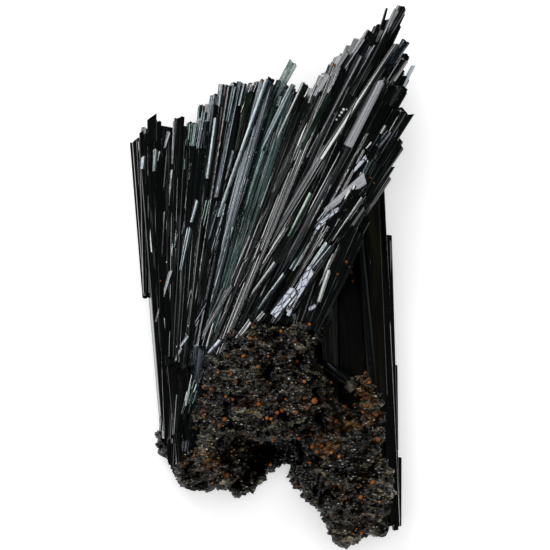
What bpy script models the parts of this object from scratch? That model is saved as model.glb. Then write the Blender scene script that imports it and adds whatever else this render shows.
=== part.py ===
"""Vivianite specimen: fans of bladed crystals growing out of porous, rust-stained rock, lying on its back.

The row frame has +X across the specimen, +Y from the rock foot towards the crystal tips and +Z up from the
table. The origin is on the table, under the middle of the specimen. Layout values are in millimetres.
"""

import math
import random

import bmesh
import bpy
from mathutils import Matrix, Vector, noise

MM = 0.001

CLEARANCE = 0.3  # clear space kept between the crystals and the rock

# Rock
ROCK_BLOCK_HEIGHT = 34.0
ROCK_VOXEL = 1.3
ROCK_TRIANGLES = 3900
ROCK_OUTLINE = [
    (-19.5, -24.5), (-16.5, -19.5), (-13.0, -16.2), (-8.5, -12.8), (-4.0, -9.8), (1.5, -8.8),
    (7.0, -9.0), (10.6, -11.2), (10.8, -14.0), (7.6, -15.0), (9.8, -20.0), (13.0, -26.8),
    (15.6, -33.0), (17.2, -33.6), (18.8, -27.8), (20.8, -20.6), (23.0, -20.8), (23.6, -28.0),
    (24.8, -37.0), (25.4, -46.0), (26.2, -54.4), (25.4, -56.8), (23.3, -57.6), (21.0, -59.2),
    (15.4, -59.4), (14.0, -58.0), (13.6, -56.0), (10.6, -52.8), (7.3, -49.2), (5.6, -47.4),
    (5.2, -45.0), (3.6, -43.2), (1.0, -43.0), (-1.4, -43.8), (-3.0, -47.8), (-6.2, -50.2),
    (-11.4, -48.0), (-15.4, -46.4), (-19.4, -48.4), (-21.2, -47.0), (-22.0, -43.6), (-23.2, -40.8),
    (-26.4, -38.6), (-26.8, -35.0), (-23.4, -33.6), (-20.4, -31.6),
]
# Heights of the rock's front face above the table, at points over the outline
ROCK_RELIEF = [
    (-18.0, -24.0, 15.0), (-13.0, -17.5, 23.0), (-6.0, -13.0, 26.5), (1.0, -10.5, 26.0),
    (8.0, -11.5, 25.5), (4.0, -14.0, 29.5), (-4.0, -17.0, 29.0), (-11.5, -25.5, 26.5),
    (-3.0, -23.5, 31.5), (4.0, -25.0, 31.5), (9.0, -27.5, 28.0), (-16.5, -32.0, 18.0),
    (-9.5, -34.0, 27.5), (-1.0, -34.5, 29.5), (8.0, -34.0, 27.0), (13.0, -34.5, 23.5),
    (-12.0, -37.5, 24.0), (-8.0, -39.5, 16.0), (-2.0, -39.5, 12.5), (4.0, -39.5, 14.0),
    (-19.0, -39.5, 12.5), (-15.0, -42.0, 20.5), (-10.5, -44.5, 19.0), (-5.5, -45.5, 11.0),
    (-17.5, -46.0, 13.0), (1.0, -42.0, 9.5), (9.5, -38.5, 23.0), (10.0, -44.0, 22.0),
    (16.0, -37.0, 25.0), (16.5, -44.5, 26.0), (21.5, -36.5, 24.0), (22.0, -27.0, 22.0),
    (20.5, -31.0, 21.0), (24.0, -46.0, 22.5), (15.0, -51.0, 23.0), (20.5, -52.0, 22.0),
    (17.5, -57.5, 13.0), (23.5, -56.0, 12.5), (-25.5, -37.0, 8.0), (-21.5, -35.0, 8.0),
]
RELIEF_REACH = 1.2  # softens the relief between its points

# Crystal cross-section, flattened hexagon, as shares of width and thickness
SECTION = [(0.5, 0.0), (0.30, 0.5), (-0.30, 0.5), (-0.5, 0.0), (-0.30, -0.5), (0.30, -0.5)]
ROOT_SHARE = 0.55  # a blade narrows to this towards its root unless its root_size says otherwise


# Sprays: root and tip lines across the fan, heights of their lower and upper sides, and how many blades
LEFT_BLADES = {
    "roots": [(-24.4, -34.5), (-22.8, -38.5)],
    "tips": [(-29.4, 31.0), (-28.6, 33.6), (-26.4, 34.9), (-23.8, 32.2), (-20.6, 35.0), (-19.0, 33.2)],
    "root_depth": ([8.6, 8.6], [14.0, 14.0]),
    "tip_depth": ([1.2, 1.2], [17.0, 20.0]),
    "columns": 5,
    "layers": 3,
    "seed": 4,
}
CENTRE_FAN = {
    "roots": [(-22.4, -38.5), (-19.0, -29.0)],
    "tips": [
        (-17.8, 33.4), (-15.2, 37.8), (-12.6, 40.9), (-10.2, 42.8), (-6.5, 42.6),
        (-3.4, 43.2), (-0.2, 44.0), (2.6, 43.6), (5.0, 41.8), (6.6, 41.0),
    ],
    "root_depth": ([8.6, 9.0], [14.5, 17.5]),
    "tip_depth": ([1.4, 2.0], [21.5, 24.0]),
    "columns": 10,
    "layers": 3,
    "seed": 11,
}
RIGHT_SPRAY = {
    "roots": [(-19.0, -30.0), (-15.5, -24.0), (-11.5, -19.0), (-5.5, -14.0), (1.5, -11.0), (8.0, -12.0)],
    "tips": [
        (7.6, 38.0), (9.6, 41.2), (12.2, 44.6), (15.4, 48.4), (18.5, 52.0), (21.2, 53.6),
        (24.0, 54.6), (26.4, 55.6), (27.4, 53.6), (27.8, 50.0), (26.8, 45.4), (26.8, 40.2),
        (26.0, 35.2), (24.0, 30.6), (21.2, 25.0), (17.8, 20.2), (16.4, 14.4), (15.0, 8.6),
    ],
    "root_depth": ([9.0, 11.0, 16.0], [16.0, 22.0, 26.0]),
    "tip_depth": ([4.0, 5.0, 9.0, 14.0, 18.5], [24.5, 29.0, 32.5, 32.5, 29.5]),
    "columns": 13,
    "layers": 3,
    "seed": 23,
}
# Blades that stand out from their spray, given by hand
STANDING_BLADES = [
    {"root": (-28.0, -5.6, 9.5), "tip": (-29.6, 30.4, 11.0), "size": (2.4, 6.5), "roll": -16, "slope": (0.8, 0.2)},
    {"root": (-24.4, -33.0, 11.5), "tip": (-24.6, 30.5, 17.0), "size": (3.4, 4.6), "roll": 12, "slope": (-0.6, 0.3)},
    {"root": (-22.4, -43.4, 7.6), "tip": (-21.2, -18.0, 15.4), "size": (3.8, 6.4), "roll": -20, "slope": (0.2, 0.2)},
    {"root": (-19.6, -42.4, 10.2), "tip": (-14.8, -16.0, 18.6), "size": (3.6, 5.6), "roll": -24, "slope": (0.2, 0.2)},
    {"root": (-19.6, -26.0, 15.0), "tip": (4.4, 47.3, 18.8), "size": (2.9, 3.4), "roll": -18, "slope": (-0.5, 0.3)},
    {"root": (-20.0, -27.0, 16.0), "tip": (-0.8, 43.4, 23.6), "size": (3.0, 3.8), "roll": -30, "slope": (0.4, 0.4)},
    {"root": (-20.6, -29.0, 15.0), "tip": (-8.8, 42.4, 22.4), "size": (4.0, 3.4), "roll": 24, "slope": (-0.7, 0.3)},
    {"root": (-6.0, -12.5, 22.0), "tip": (28.2, 59.3, 30.4), "size": (3.0, 3.6), "roll": -32, "slope": (0.4, 0.1)},
    {"root": (-3.0, -9.0, 23.0), "tip": (26.4, 55.6, 32.2), "size": (2.6, 3.2), "roll": 25, "slope": (0.7, 0.2)},
    {"root": (-13.5, -22.0, 20.0), "tip": (14.0, 46.0, 28.7), "size": (4.0, 4.0), "roll": -24, "slope": (0.8, 0.2)},
    {"root": (16.6, 28.4, 33.7), "tip": (25.6, 46.4, 32.7), "size": (2.6, 2.4), "roll": -12, "slope": (0.3, 0.0)},
    {"root": (0.0, -10.5, 25.0), "tip": (18.8, 19.0, 32.6), "size": (3.4, 3.4), "roll": -20, "slope": (-0.4, 0.3)},
    {"root": (3.0, -8.0, 26.5), "tip": (18.2, 15.5, 30.0), "size": (3.2, 3.2), "roll": -36, "slope": (-0.5, 0.2)},
    {"root": (25.6, 37.4, 24.0), "tip": (30.2, 46.2, 25.0), "size": (0.9, 0.9), "roll": 20, "slope": (0.0, 0.0)},
]
EDGE_CRYSTALS = [
    {
        "root": (26.1, -57.8, 11.8), "tip": (22.0, 24.2, 11.2), "size": (7.6, 15.0), "root_size": (4.2, 15.0),
        "roll": 6, "slope": (-0.5, 0.2),
    },
    {"root": (27.3, -57.0, 9.4), "tip": (25.9, 9.0, 9.8), "size": (1.9, 8.0), "roll": -12, "slope": (0.9, 0.0)},
    {"root": (23.6, -30.0, 7.0), "tip": (20.4, 19.0, 8.0), "size": (4.0, 9.0), "roll": -18, "slope": (0.5, 0.3)},
]
WEDGE_CRYSTALS = [
    {
        "root": (17.0, -37.0, 6.8), "tip": (14.6, 4.0, 6.2), "size": (14.6, 10.6), "root_size": (9.0, 6.0),
        "roll": -7, "slope": (0.2, 0.2),
    },
    {"root": (13.4, -32.0, 8.5), "tip": (11.4, 1.0, 9.4), "size": (5.4, 6.0), "roll": 16, "slope": (0.3, 0.3)},
    {"root": (9.8, -17.2, 11.0), "tip": (17.6, -23.8, 12.2), "size": (2.2, 2.4), "roll": 20, "slope": (0.4, 0.2)},
]
SOCKET_END = -3.0  # the rock lies wholly on the root side of this
BLADES_PER_SOCKET = 6


def along(line, share):
    """The point at this share of the way along a polyline, with equal shares for its segments."""
    place = min(max(share, 0.0), 1.0) * (len(line) - 1)
    index = min(int(place), len(line) - 2)
    return Vector(line[index]).lerp(Vector(line[index + 1]), place - index)


def mix(low, high, share):
    return low + (high - low) * share


def new_object(name, mesh, colour, roughness):
    """A named object with its own Principled material."""
    material = bpy.data.materials.new(name)
    material.use_nodes = True
    shader = material.node_tree.nodes["Principled BSDF"]
    shader.inputs["Base Color"].default_value = (*colour, 1)
    shader.inputs["Roughness"].default_value = roughness
    mesh.materials.clear()
    mesh.materials.append(material)
    obj = bpy.data.objects.new(name, mesh)
    bpy.context.scene.collection.objects.link(obj)
    return obj


def crystal_corners(item, grow):
    """Root and tip corners of one tapered blade; grow makes it larger all round."""
    root, tip = item["root"], item["tip"]
    axis = (tip - root).normalized()
    side = axis.cross(Vector((0, 0, 1))).normalized()
    turn = Matrix.Rotation(math.radians(item["roll"]), 3, axis)
    side = turn @ side
    front = side.cross(axis)
    root, tip = root - axis * grow, tip + axis * grow
    length = (tip - root).length
    width, thickness = item["size"]
    root_width, root_thickness = item.get("root_size", (width * ROOT_SHARE, thickness * ROOT_SHARE))
    lean_across, lean_through = item["slope"]
    rings = ([], [])
    for across, through in SECTION:
        wide = side * across
        deep = front * through
        low = root + wide * (root_width + 2 * grow) + deep * (root_thickness + 2 * grow)
        high = tip + wide * (width + 2 * grow) + deep * (thickness + 2 * grow)
        rise = lean_across * across * width + lean_through * through * thickness
        rings[0].append(low)
        rings[1].append(low.lerp(high, 1 + rise / length))
    return rings


def crystal_mesh(item, name):
    """One convex blade."""
    bm = bmesh.new()
    low, high = ([bm.verts.new(corner * MM) for corner in ring] for ring in crystal_corners(item, 0.0))
    count = len(SECTION)
    for i in range(count):
        j = (i + 1) % count
        bm.faces.new((low[i], low[j], high[j], high[i]))
    bm.faces.new(reversed(low))
    bm.faces.new(high)
    return finished_mesh(bm, name)


def socket_mesh(items, name):
    """One convex socket with clear space round a few neighbouring blades."""
    bm = bmesh.new()
    for item in items:
        low, high = crystal_corners(item, CLEARANCE)
        span = item["tip"].y - item["root"].y
        share = min(1.0, max(0.05, (SOCKET_END - item["root"].y) / span)) if span > 0 else 1.0
        for start, end in zip(low, high):
            bm.verts.new(start * MM)
            bm.verts.new(start.lerp(end, share) * MM)
    hull = bmesh.ops.convex_hull(bm, input=bm.verts[:])
    inside = [item for item in hull["geom_interior"] if isinstance(item, bmesh.types.BMVert)]
    bmesh.ops.delete(bm, geom=inside, context="VERTS")
    return finished_mesh(bm, name)


def finished_mesh(bm, name):
    bmesh.ops.recalc_face_normals(bm, faces=bm.faces)
    mesh = bpy.data.meshes.new(name)
    bm.to_mesh(mesh)
    bm.free()
    return mesh


def helper_collection(name, meshes):
    """A collection of hidden operands for a Boolean."""
    collection = bpy.data.collections.new(name)
    bpy.context.scene.collection.children.link(collection)
    for index, mesh in enumerate(meshes):
        obj = bpy.data.objects.new(f"{name}_{index:02d}", mesh)
        obj.hide_render = True
        obj.display_type = "WIRE"
        collection.objects.link(obj)
    return collection


def apply_modifier(obj, modifier):
    bpy.context.view_layer.objects.active = obj
    with bpy.context.temp_override(object=obj, active_object=obj, selected_objects=[obj]):
        bpy.ops.object.modifier_apply(modifier=modifier.name)


def boolean(obj, operation, collection):
    modifier = obj.modifiers.new(operation.title(), "BOOLEAN")
    modifier.operation = operation
    modifier.operand_type = "COLLECTION"
    modifier.collection = collection
    modifier.solver = "EXACT"
    apply_modifier(obj, modifier)


def keep_largest_shell(obj):
    """Deletes sealed pockets and chips that a Boolean leaves beside the main body."""
    bm = bmesh.new()
    bm.from_mesh(obj.data)
    unseen = set(bm.faces)
    shells = []
    while unseen:
        queue = [unseen.pop()]
        shell = list(queue)
        while queue:
            for edge in queue.pop().edges:
                for face in edge.link_faces:
                    if face in unseen:
                        unseen.remove(face)
                        queue.append(face)
                        shell.append(face)
        shells.append(shell)

    def volume(shell):
        total = 0.0
        for face in shell:
            first = face.verts[0].co
            for b, c in zip(face.verts[1:], face.verts[2:]):
                total += first.dot(b.co.cross(c.co))
        return total

    body = max(shells, key=volume)
    spare = [face for shell in shells if shell is not body for face in shell]
    bmesh.ops.delete(bm, geom=spare, context="FACES")
    bm.to_mesh(obj.data)
    bm.free()


def depth_at(line, share):
    """Height at this share of the way along a list of heights."""
    return along([(height, 0.0) for height in line], share).x


def spray_blades(plan):
    """Blades in a grid of columns and layers, from a root line to a tip line, each a little its own way."""
    rng = random.Random(plan["seed"])
    columns, layers = plan["columns"], plan["layers"]
    blades = []
    for column in range(columns):
        for layer in range(layers):
            share = (column + 0.5 + rng.uniform(-0.2, 0.2)) / columns
            depth = (layer + 0.5) / layers
            root = along(plan["roots"], share)
            tip = along(plan["tips"], share)
            low_root, high_root = (depth_at(line, share) for line in plan["root_depth"])
            low_tip, high_tip = (depth_at(line, share) for line in plan["tip_depth"])
            start = Vector((root.x, root.y, mix(low_root, high_root, depth)))
            end = Vector((tip.x, tip.y, mix(low_tip, high_tip, depth)))
            begin = rng.uniform(0.18, 0.38) if (column + layer) % 2 else 0.0
            short = abs(2 * depth - 1) * rng.uniform(0.02, 0.12)
            half_step = 0.5 / columns
            spacing = (along(plan["tips"], share + half_step) - along(plan["tips"], share - half_step)).length
            blades.append({
                "root": start.lerp(end, begin),
                "tip": start.lerp(end, 1 - short),
                "size": (
                    max(spacing, 2.2) * rng.uniform(1.15, 1.5),
                    (high_tip - low_tip) / layers * rng.uniform(1.05, 1.3),
                ),
                "roll": rng.uniform(-28, 28),
                "slope": (rng.uniform(-0.9, 0.9), rng.uniform(-0.5, 0.5)),
            })
    return blades


def given_blades(entries):
    return [{**entry, "root": Vector(entry["root"]), "tip": Vector(entry["tip"])} for entry in entries]


def fuse(name, meshes, colour, roughness):
    """One solid from overlapping closed meshes."""
    obj = new_object(name, meshes[0], colour, roughness)
    boolean(obj, "UNION", helper_collection(name + "_pieces", meshes[1:]))
    keep_largest_shell(obj)
    return obj


def rock_height(x, y):
    """Height of the rock's front at a point, blended from the relief points around it."""
    total = weight_sum = 0.0
    for px, py, height in ROCK_RELIEF:
        weight = 1 / ((x - px) ** 2 + (y - py) ** 2 + RELIEF_REACH**2) ** 2
        total += weight * height
        weight_sum += weight
    return total / weight_sum


def remesh(obj, voxel):
    modifier = obj.modifiers.new("Remesh", "REMESH")
    modifier.mode = "VOXEL"
    modifier.voxel_size = voxel * MM
    apply_modifier(obj, modifier)


def rock_texture(point):
    """Outward move in millimetres: lumps, level ledges and pits."""
    lumps = noise.fractal(point * 0.17, 0.8, 2.2, 3) * 1.9
    ledges = noise.noise(Vector((point.x * 0.08, point.y * 0.42, point.z * 0.2))) * 1.7
    pits = max(0.0, noise.noise(point * 0.32 + Vector((9, 4, 2))) - 0.10) * 4.5
    return lumps + ledges - pits


def build_rock(sockets):
    """The porous rock: a block on its outline, given relief and texture, with sockets for the crystals."""
    bm = bmesh.new()
    outline = bm.faces.new([bm.verts.new((x * MM, y * MM, 0)) for x, y in reversed(ROCK_OUTLINE)])
    block = bmesh.ops.extrude_face_region(bm, geom=[outline])
    raised = [item for item in block["geom"] if isinstance(item, bmesh.types.BMVert)]
    bmesh.ops.translate(bm, verts=raised, vec=(0, 0, ROCK_BLOCK_HEIGHT * MM))
    bmesh.ops.recalc_face_normals(bm, faces=bm.faces)
    mesh = bpy.data.meshes.new("rock")
    bm.to_mesh(mesh)
    bm.free()
    obj = new_object("rock", mesh, (0.045, 0.04, 0.032), 0.85)
    remesh(obj, ROCK_VOXEL)
    for vert in obj.data.vertices:
        vert.co.z *= rock_height(vert.co.x / MM, vert.co.y / MM) / ROCK_BLOCK_HEIGHT
    smooth = obj.modifiers.new("Smooth", "SMOOTH")
    smooth.factor = 0.6
    smooth.iterations = 3
    apply_modifier(obj, smooth)
    remesh(obj, ROCK_VOXEL)
    moves = [vert.normal * rock_texture(vert.co / MM) * MM for vert in obj.data.vertices]
    for vert, move in zip(obj.data.vertices, moves):
        vert.co += move
    remesh(obj, ROCK_VOXEL)
    decimate = obj.modifiers.new("Decimate", "DECIMATE")
    decimate.ratio = ROCK_TRIANGLES / (2 * len(obj.data.polygons))
    apply_modifier(obj, decimate)
    cut_table_face(obj)
    boolean(obj, "DIFFERENCE", helper_collection("sockets", sockets))
    keep_largest_shell(obj)


def cut_table_face(obj):
    """Levels the lowest part of the rock into the face it rests on."""
    bm = bmesh.new()
    bm.from_mesh(obj.data)
    everything = bm.verts[:] + bm.edges[:] + bm.faces[:]
    cut = bmesh.ops.bisect_plane(bm, geom=everything, plane_co=(0, 0, 0), plane_no=(0, 0, -1), clear_outer=True)
    rim = [item for item in cut["geom_cut"] if isinstance(item, bmesh.types.BMEdge)]
    bmesh.ops.holes_fill(bm, edges=rim, sides=0)
    bmesh.ops.triangulate(bm, faces=bm.faces)
    bmesh.ops.recalc_face_normals(bm, faces=bm.faces)
    bm.to_mesh(obj.data)
    bm.free()


def main():
    for obj in list(bpy.data.objects):
        bpy.data.objects.remove(obj)
    grids = [spray_blades(plan) for plan in (LEFT_BLADES, CENTRE_FAN, RIGHT_SPRAY)]
    standing, edge, wedge = (given_blades(group) for group in (STANDING_BLADES, EDGE_CRYSTALS, WEDGE_CRYSTALS))
    grown = [item for grid in grids for item in grid] + standing + edge + wedge
    fuse("crystals", [crystal_mesh(item, "blade") for item in grown], (0.016, 0.026, 0.025), 0.2)

    groups = [[item] for item in standing + edge + wedge]
    for grid in grids:
        groups += [grid[i:i + BLADES_PER_SOCKET] for i in range(0, len(grid), BLADES_PER_SOCKET)]
    in_rock = [group for group in groups if min(item["root"].y for item in group) < SOCKET_END]
    build_rock([socket_mesh(group, "socket") for group in in_rock])


main()
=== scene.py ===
"""Looks of a vivianite specimen: grown-together sprays of dark glassy blades on porous, rust-stained rock.

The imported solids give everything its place. Layout values are in millimetres, in the frame's own axes.
"""

import itertools
import math
import random

import bpy
import numpy as np
from mathutils import Matrix, Vector, noise


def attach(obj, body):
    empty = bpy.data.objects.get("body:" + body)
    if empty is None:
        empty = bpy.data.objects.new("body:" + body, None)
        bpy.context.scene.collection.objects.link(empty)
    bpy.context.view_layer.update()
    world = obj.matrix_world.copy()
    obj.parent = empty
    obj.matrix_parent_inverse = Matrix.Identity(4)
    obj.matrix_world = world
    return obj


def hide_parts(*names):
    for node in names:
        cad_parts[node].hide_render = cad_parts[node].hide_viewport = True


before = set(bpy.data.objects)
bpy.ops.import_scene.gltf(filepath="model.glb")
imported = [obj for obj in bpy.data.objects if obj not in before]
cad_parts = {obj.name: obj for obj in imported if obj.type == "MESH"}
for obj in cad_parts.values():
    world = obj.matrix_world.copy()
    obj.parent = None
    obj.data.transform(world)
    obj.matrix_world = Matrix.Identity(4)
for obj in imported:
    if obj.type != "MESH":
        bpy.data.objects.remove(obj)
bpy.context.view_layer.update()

MM = 0.001
UP = Vector((0, 0, 1))

# Camera, straight above the specimen, and key light
PICTURE_WIDTH = 122.4  # what the frame spans at the height of the focus plane
PICTURE_CENTRE = (0.356, 0.245)
FOCUS_HEIGHT = 22.0
LENS = 250.0
SENSOR = 36.0
KEY_PLACE = (-0.74, 0.0, 0.78)  # metres

# Blades, and the laths that they are made of
BLADE_SEED = 31
LAYERS = 3  # of blades in each spray, one over the other
FLAT_SHARE = 0.30  # half the flat middle of a blade's section, as a share of its width
ROOT_SHARE = 0.55  # width and thickness at the root, as a share of those at the tip
LATH_EDGE = 0.10  # ground-off edge of a lath, as a share of its width
WIDEST_LATH = 3.0  # in blades where some laths lie deeper than the rest
DEEPER_LATHS = 0.22  # share of them
OVERLAP = 1.1  # of laths side by side
ROW_OVERLAP = 1.15  # of laths one over the other
UNCUT = (99, 99)  # lath widths of a crystal that isn't split into laths
WHOLE = 9  # lath width of a surface blade that isn't split

# How surface blades are laid on the crystals below
PROBES = 9  # from root to tip, as shares of the length
FIRST_PROBE = 0.04
PROBE_STEP = 0.115
PROBE_START = 0.2  # metres above or below the specimen
LAYER_STEP = 4.0  # a probe that goes this much deeper than the highest has missed the layer
STEEPEST_FALL = 0.2  # towards the tip, as a share of the length
SHORT_BLADE = 26  # shorter shining blades take the slope that mirrors the key light
ROOT_DIP = 0.018  # of the root, as a share of the length
LONG_ROW = 45  # plan squares: a longer blade is narrower at its root
BODY = 1.4  # thickness of a surface blade, besides its lift

# Sprays: root and tip lines across the fan, heights of their lower and upper sides there, how many columns of
# blades, their finishes, how many small blades are scattered over them, and the usual widths of the laths
SPRAYS = {
    "left_blades": {
        "roots": [(-24.4, -34.5), (-22.8, -38.5)],
        "tips": [(-29.4, 31.0), (-28.6, 33.6), (-26.4, 34.9), (-23.8, 32.2), (-20.6, 35.0), (-19.0, 33.2)],
        "root_depth": ([8.6, 8.6], [14.0, 14.0]),
        "tip_depth": ([1.2, 1.2], [17.0, 20.0]),
        "columns": 5,
        "seed": 4,
        "finishes": ["black", "black", "smoky"],
        "scattered": 30,
        "lath_widths": (1.0, 2.2),
    },
    "centre_fan": {
        "roots": [(-22.4, -38.5), (-19.0, -29.0)],
        "tips": [
            (-17.8, 33.4), (-15.2, 37.8), (-12.6, 40.9), (-10.2, 42.8), (-6.5, 42.6),
            (-3.4, 43.2), (-0.2, 44.0), (2.6, 43.6), (5.0, 41.8), (6.6, 41.0),
        ],
        "root_depth": ([8.6, 9.0], [14.5, 17.5]),
        "tip_depth": ([1.4, 2.0], [21.5, 24.0]),
        "columns": 10,
        "seed": 11,
        "finishes": ["black", "smoky", "steel", "teal", "teal", "green"],
        "scattered": 130,
        "lath_widths": (0.7, 1.6),
    },
    "right_spray": {
        "roots": [(-19.0, -30.0), (-15.5, -24.0), (-11.5, -19.0), (-5.5, -14.0), (1.5, -11.0), (8.0, -12.0)],
        "tips": [
            (7.6, 38.0), (9.6, 41.2), (12.2, 44.6), (15.4, 48.4), (18.5, 52.0), (21.2, 53.6),
            (24.0, 54.6), (26.4, 55.6), (27.4, 53.6), (27.8, 50.0), (26.8, 45.4), (26.8, 40.2),
            (26.0, 35.2), (24.0, 30.6), (21.2, 25.0), (17.8, 20.2), (16.4, 14.4), (15.0, 8.6),
        ],
        "root_depth": ([9.0, 11.0, 16.0], [16.0, 22.0, 26.0]),
        "tip_depth": ([4.0, 5.0, 9.0, 14.0, 18.5], [24.5, 29.0, 32.5, 32.5, 29.5]),
        "columns": 13,
        "seed": 23,
        "finishes": ["black", "black", "smoky", "smoky", "grey", "green"],
        "scattered": 130,
        "lath_widths": (1.0, 2.4),
    },
}
RISING_TIPS = 8  # points of the right spray's tip line, up to its highest one


def crystal(root, tip, size, roll, finish, **more):
    """One blade: its ends, width and thickness at the tip, roll in degrees, finish, and what is unusual."""
    return {"root": root, "tip": tip, "size": size, "roll": roll, "finish": finish, **more}


# Large blades: those that stand out in the sprays, the tall crystal on the edge, the wedge and the clear ones
STANDING = [
    crystal((-28.0, -5.6, 9.5), (-29.6, 30.4, 11.0), (2.4, 6.5), -34, "black"),
    crystal((-24.4, -33.0, 11.5), (-24.6, 30.5, 17.0), (3.4, 4.6), 12, "black"),
    crystal((-22.4, -43.4, 7.6), (-21.2, -18.0, 15.4), (3.8, 6.4), -34, "black"),
    crystal((-19.6, -42.4, 10.2), (-14.8, -16.0, 18.6), (3.6, 5.6), -38, "steel"),
    crystal((-20.0, -27.0, 16.0), (-0.8, 43.4, 23.6), (3.0, 3.8), -30, "steel"),
    crystal((-20.6, -29.0, 15.0), (-8.8, 42.4, 22.4), (4.0, 3.4), 24, "smoky"),
    crystal((-6.0, -12.5, 22.0), (27.9, 58.6, 30.4), (2.4, 3.0), 4, "black", split=UNCUT),
    crystal((-3.0, -9.0, 23.0), (26.4, 55.6, 32.2), (2.6, 3.2), 25, "black"),
    crystal((-13.5, -22.0, 20.0), (14.0, 46.0, 28.7), (4.0, 4.0), -24, "grey"),
    crystal((0.0, -10.5, 25.0), (18.8, 19.0, 32.6), (3.4, 3.4), 12, "smoky"),
    crystal((3.0, -8.0, 26.5), (18.2, 15.5, 30.0), (3.2, 3.2), -36, "smoky"),
]
EDGE_CRYSTALS = [
    crystal(
        (26.1, -57.8, 11.8), (20.6, 24.2, 11.2), (7.4, 15.0), 2, "ebony",
        root_size=(4.2, 15.0), split=(2.0, 3.4),
    ),
    crystal((27.0, -57.0, 9.4), (25.0, 9.0, 9.8), (3.1, 8.0), -3, "ebony", split=UNCUT),
    crystal((25.0, 5.0, 18.2), (23.7, 23.4, 18.2), (1.1, 1.6), 40, "ebony"),
    crystal((27.6, -40.0, 13.0), (26.9, -20.0, 13.0), (1.2, 1.6), 40, "ebony"),
    crystal((28.2, -57.0, 12.8), (27.7, -41.0, 12.8), (1.4, 1.8), 36, "ebony"),
    crystal((23.6, -30.0, 7.0), (20.4, 19.0, 8.0), (4.0, 9.0), -4, "ebony"),
]
WEDGE_CRYSTALS = [
    crystal(
        (17.0, -37.0, 6.8), (14.6, 4.0, 6.2), (14.6, 10.6), -7, "ebony",
        root_size=(9.0, 6.0), split=UNCUT, levels=(0.0,),
    ),
    crystal((13.4, -32.0, 8.5), (11.4, 1.0, 9.4), (5.4, 6.0), 16, "ebony", split=UNCUT, levels=(0.0,)),
    crystal((9.8, -19.0, 11.0), (17.0, -23.9, 12.2), (2.8, 2.6), -10, "smoky"),
    crystal((16.2, -23.3, 12.2), (18.0, -24.6, 12.4), (2.9, 2.6), -10, "ivory"),
]
CLEAR_CRYSTALS = [
    crystal((-4.6, 31.0, 19.6), (4.6, 47.6, 19.8), (2.1, 2.4), -18, "clear", root_size=(1.3, 2.0), levels=(0.0,)),
    crystal((27.3, 39.4, 24.0), (31.0, 46.6, 25.0), (0.8, 0.85), -15, "frost", root_size=(0.75, 0.75), levels=(0.0,)),
]

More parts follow.
